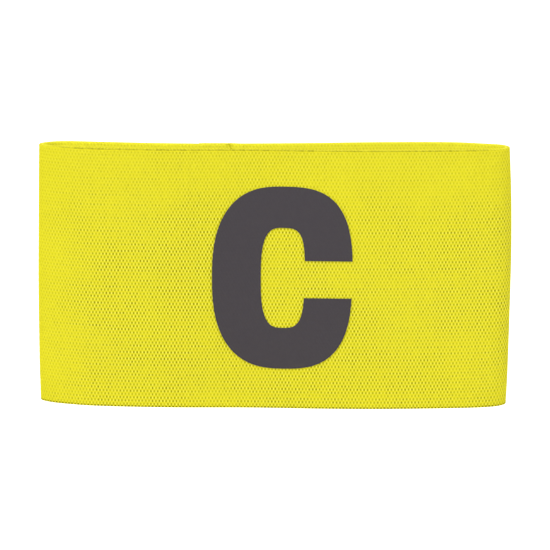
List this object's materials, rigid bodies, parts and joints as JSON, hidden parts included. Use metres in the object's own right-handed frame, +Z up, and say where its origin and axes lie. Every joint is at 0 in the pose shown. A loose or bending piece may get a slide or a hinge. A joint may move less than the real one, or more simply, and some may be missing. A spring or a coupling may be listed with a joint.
{
  "type": "captain armband",
  "caption": "Loop of wide yellow elastic webbing for an upper arm, pressed nearly flat and standing on its edge, with a plain block letter in dark film on its front.",
  "frame": {"origin": "under the middle of the flattened loop, on the surface that it stands on", "axes": "+X along the flattened loop from its left fold to its right fold as the letter is read, +Y from the front panel to the back panel, +Z up along the webbing's width"},
  "size_m": [0.1368, 0.021, 0.075],
  "materials": {
    "elastic_webbing": "matt woven elastic, bright yellow, with a lattice of fine pits between its ribs",
    "letter_film": "matt charcoal transfer film, smooth, showing the weave under it faintly"
  },
  "bodies": {
    "root": {"elastic_band": "elastic_webbing", "captain_letter": "letter_film"}
  },
  "joints": []
}
